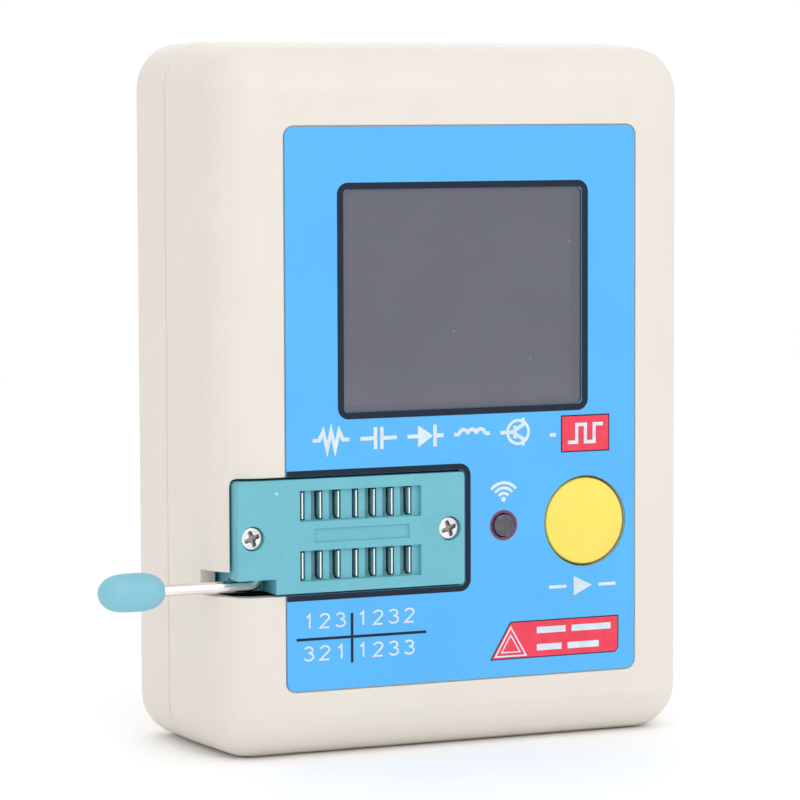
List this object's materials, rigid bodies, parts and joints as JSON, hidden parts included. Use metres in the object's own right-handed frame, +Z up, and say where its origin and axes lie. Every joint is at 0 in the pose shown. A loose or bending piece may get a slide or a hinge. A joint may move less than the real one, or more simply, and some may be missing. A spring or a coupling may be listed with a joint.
{
  "type": "component_tester",
  "caption": "Hand-sized component tester in a cream two-part case, with a display, a lever-operated test socket, an infrared window and a round start button",
  "frame": {"origin": "Middle of the flat underside of the case, halfway between the front panel's face and the back", "axes": "+X to the right seen from the front, +Y towards the back, +Z up; the front panel faces -Y"},
  "size_m": [0.0848, 0.0305, 0.093],
  "materials": {
    "cream_plastic": "satin moulded cream plastic",
    "blue_label": "printed sky-blue polyester label",
    "clear_window": "clear acrylic window",
    "lcd_glass": "unlit grey display glass",
    "steel": "nickel-plated steel",
    "ribbon": "amber polyimide ribbon",
    "foam": "black foam tape",
    "board": "green solder mask",
    "black_plastic": "black moulded plastic",
    "teal_plastic": "teal glass-filled plastic",
    "yellow_plastic": "satin yellow plastic",
    "pouch_foil": "aluminium laminate pouch",
    "white_plastic": "white nylon",
    "red_insulation": "red silicone insulation",
    "infrared_window": "dark infrared-passing plastic",
    "lamp": "diffused lamp",
    "contact_metal": "bright plated spring contact"
  },
  "bodies": {
    "case": {"front_shell": "cream_plastic", "rear_shell": "cream_plastic", "front_label": "blue_label", "display_window": "clear_window", "lcd_glass": "lcd_glass", "lcd_frame": "steel", "crystal": "steel", "micro_usb_port": "steel", "case_screw_1": "steel", "case_screw_2": "steel", "case_screw_3": "steel", "case_screw_4": "steel", "pcb_screw_1": "steel", "pcb_screw_2": "steel", "pcb_screw_3": "steel", "pcb_screw_4": "steel", "socket_screw_left": "steel", "socket_screw_right": "steel", "lcd_flex": "ribbon", "display_foam": "foam", "battery_tape": "foam", "main_pcb": "board", "switch_body": "black_plastic", "ir_receiver": "black_plastic", "microcontroller": "black_plastic", "charger_ic": "black_plastic", "voltage_regulator": "black_plastic", "inductor": "black_plastic", "battery_lead_black": "black_plastic", "socket_base": "teal_plastic", "socket_cover": "teal_plastic", "battery": "pouch_foil", "battery_connector": "white_plastic", "battery_lead_red": "red_insulation", "ir_window": "infrared_window", "charge_led": "lamp", "contact_upper_1": "contact_metal", "contact_upper_2": "contact_metal", "contact_upper_3": "contact_metal", "contact_upper_4": "contact_metal", "contact_upper_5": "contact_metal", "contact_upper_6": "contact_metal", "contact_upper_7": "contact_metal", "contact_lower_1": "contact_metal", "contact_lower_2": "contact_metal", "contact_lower_3": "contact_metal", "contact_lower_4": "contact_metal", "contact_lower_5": "contact_metal", "contact_lower_6": "contact_metal", "contact_lower_7": "contact_metal"},
    "lever": {"lever_rod": "steel", "lever_knob": "teal_plastic"},
    "slider": {"socket_slider": "teal_plastic"},
    "button": {"button_cap": "yellow_plastic", "switch_stem": "black_plastic"}
  },
  "joints": [
    {"name": "lever_swing", "type": "hinge", "parent": "case", "child": "lever", "pos_m": [-0.02795, -0.012, 0.0228], "axis": [0, 0, 1], "range_deg": [0, 90]},
    {"name": "slider_slide", "type": "slide", "parent": "case", "child": "slider", "axis": [-1, 0, 0], "range_m": [0, 0.0006]},
    {"name": "start_press", "type": "slide", "parent": "case", "child": "button", "axis": [0, 1, 0], "range_m": [0, 0.0003], "stiffness_N_per_m": 3000}
  ],
  "couplings": [
    {"joint": "slider_slide", "follows": "lever_swing", "m_per_rad": 0.00038197}
  ]
}
